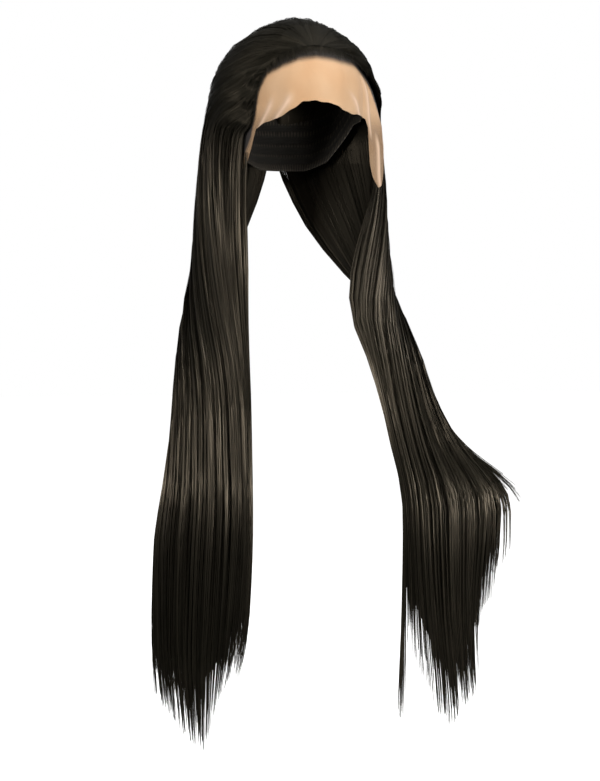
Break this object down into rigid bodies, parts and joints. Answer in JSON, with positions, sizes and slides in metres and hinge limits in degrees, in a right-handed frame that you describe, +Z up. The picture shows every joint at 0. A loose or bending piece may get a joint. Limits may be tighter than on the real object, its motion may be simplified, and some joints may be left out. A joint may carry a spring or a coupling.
{
  "type": "lace front wig",
  "caption": "Lace front wig: long straight hair swept back from a sheer lace hairline and brought forward over both shoulders, on a soft cap worn on the head.",
  "frame": {"origin": "on the inside of the cap, where the top of the wearer's head bears on it", "axes": "+Z is up along the hanging hair, the wearer faces -Y, and +X is the wearer's left"},
  "size_m": [0.3775, 0.2659, 0.8013],
  "materials": {
    "cap": "matt dark stretch net with sewn bands",
    "lace": "sheer tan net",
    "hair": "smooth straight near-black brown hair with a soft sheen"
  },
  "bodies": {
    "root": {"wig_cap": "cap", "lace_front": "lace", "crown_hair": "hair", "right_side_hair": "hair", "left_side_hair": "hair", "right_lengths": "hair", "left_lengths": "hair"}
  },
  "joints": []
}
